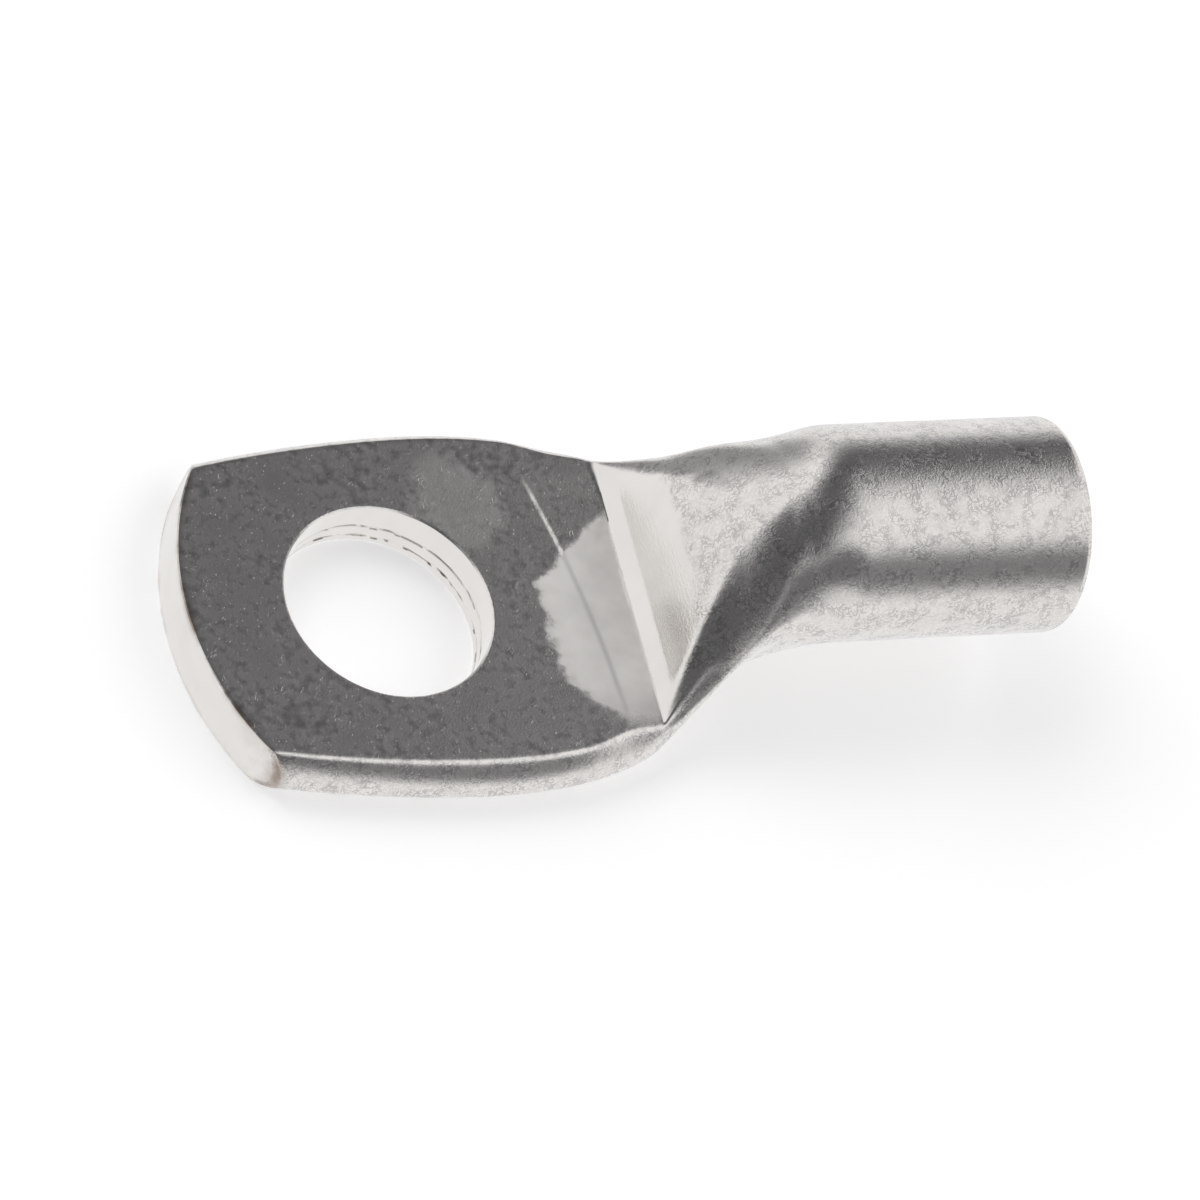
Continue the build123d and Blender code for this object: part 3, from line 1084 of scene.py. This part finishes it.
def white_surroundings(light):
    """A white room with dark places for the tin to mirror. The camera sees plain white."""
    world = bpy.data.worlds.new("studio")
    world.use_nodes = True
    tree = world.node_tree
    background = tree.nodes["Background"]
    background.inputs["Strength"].default_value = light
    direction = tree.nodes.new("ShaderNodeTexCoord").outputs["Generated"]
    east, north, high = parts_of(tree, direction)
    band = strip_share(tree, direction, BAND_ACROSS, BAND_FULL, BAND_NONE)
    band = band * high.share(*BAND_HIGH, smooth=True)
    band = band * (1 - (east - north * BAND_SIDE_SLANT).share(*BAND_SIDE, smooth=True))
    left, low_front, front, north_low = (
        panel_share(tree, direction, wanted, full, none) * darkness
        for wanted, full, none, darkness in DARK_PLACES
    )
    overhead = soft_max(band, left, DARK_BLEND)
    dark = soft_max(overhead, soft_max(low_front, front, DARK_BLEND), DARK_BLEND)
    dark = soft_max(dark, north_low, DARK_BLEND)
    shade = mixed_colour(tree, dark * (1 - seen_by_camera(tree)), WHITE, DARK)
    tree.links.new(shade, background.inputs["Color"])
    bpy.context.scene.world = world


def floor_material():
    material, tree, shader = new_material("pale floor")
    shader.inputs["Base Color"].default_value = (0.9, 0.9, 0.9, 1.0)
    shader.inputs["Roughness"].default_value = 0.9
    shader.inputs["Specular IOR Level"].default_value = 0.0
    shader.inputs["Emission Color"].default_value = (*WHITE, 1.0)
    connect(tree, seen_by_camera(tree) * FLOOR_GLOW, shader.inputs["Emission Strength"])
    return material


def flat_square(name, half_side, material):
    turns = ((-1, -1), (1, -1), (1, 1), (-1, 1))
    mesh = bpy.data.meshes.new(name)
    mesh.from_pydata([(x * half_side, y * half_side, 0) for x, y in turns], [], [(0, 1, 2, 3)])
    mesh.materials.append(material)
    return new_object(name, mesh)


class LUG_OT_studio(bpy.types.Operator):
    """Make the pale floor, the soft light, the white surroundings and the camera"""

    bl_idname = "lug.studio"
    bl_label = "Make Lug Studio"

    def execute(self, context):
        studio = context.scene.lug_studio
        white_surroundings(studio.light)
        floor = flat_square("floor", FLOOR_HALF_SIDE, floor_material())
        floor.visible_glossy = False
        lamp_data = bpy.data.lights.new("soft lamp", "AREA")
        lamp_data.size = LAMP_SIDE
        lamp_data.energy = LAMP_POWER
        lamp = new_object("soft lamp", lamp_data)
        lamp.location = LAMP_PLACE
        lamp.rotation_euler = (Vector(LAMP_AIM) - lamp.location).to_track_quat("-Z", "Y").to_euler()
        lamp.visible_glossy = False
        place_camera(context.scene, studio)
        context.scene.view_settings.view_transform = "Standard"
        return {"FINISHED"}


def place_camera(scene, studio):
    """The photograph's camera: its direction from azimuth and elevation, turned by its roll."""
    cos_elevation = math.cos(studio.elevation)
    back = Vector(
        (
            math.sin(studio.azimuth) * cos_elevation,
            -math.cos(studio.azimuth) * cos_elevation,
            math.sin(studio.elevation),
        )
    )
    level = Vector((math.cos(studio.azimuth), math.sin(studio.azimuth), 0.0))
    right = Matrix.Rotation(studio.roll, 3, back) @ level
    up = back.cross(right)
    looked_at = Vector(LOOKED_AT) * MM
    data = bpy.data.cameras.new("camera")
    data.lens = studio.lens
    data.sensor_width = SENSOR_WIDTH
    data.clip_start = CLIP_START
    camera = new_object("camera", data)
    turned = Matrix((right, up, back)).transposed().to_4x4()
    camera.matrix_world = Matrix.Translation(looked_at + back * studio.distance) @ turned
    scene.camera = camera


class LUG_PT_panel(bpy.types.Panel):
    """The lug's sizes, finish and studio, and the steps that make them"""

    bl_idname = "LUG_PT_panel"
    bl_label = "Tube Lug"
    bl_space_type = "VIEW_3D"
    bl_region_type = "UI"
    bl_category = "Tube Lug"

    def draw(self, context):
        layout = self.layout
        for group in (context.scene.lug_sizes, context.scene.lug_finish, context.scene.lug_studio):
            box = layout.box()
            for key in group.__annotations__:
                box.prop(group, key)
        layout.operator(LUG_OT_body.bl_idname)
        layout.operator(LUG_OT_studio.bl_idname)


CLASSES = (LugSizes, LugFinish, LugStudio, LUG_OT_body, LUG_OT_studio, LUG_PT_panel)


def register():
    for cls in CLASSES:
        bpy.utils.register_class(cls)
    bpy.types.Scene.lug_sizes = PointerProperty(type=LugSizes)
    bpy.types.Scene.lug_finish = PointerProperty(type=LugFinish)
    bpy.types.Scene.lug_studio = PointerProperty(type=LugStudio)


def unregister():
    del bpy.types.Scene.lug_studio
    del bpy.types.Scene.lug_finish
    del bpy.types.Scene.lug_sizes
    for cls in reversed(CLASSES):
        bpy.utils.unregister_class(cls)


def main():
    register()
    bpy.ops.lug.body()
    bpy.ops.lug.studio()


if __name__ == "__main__":
    main()
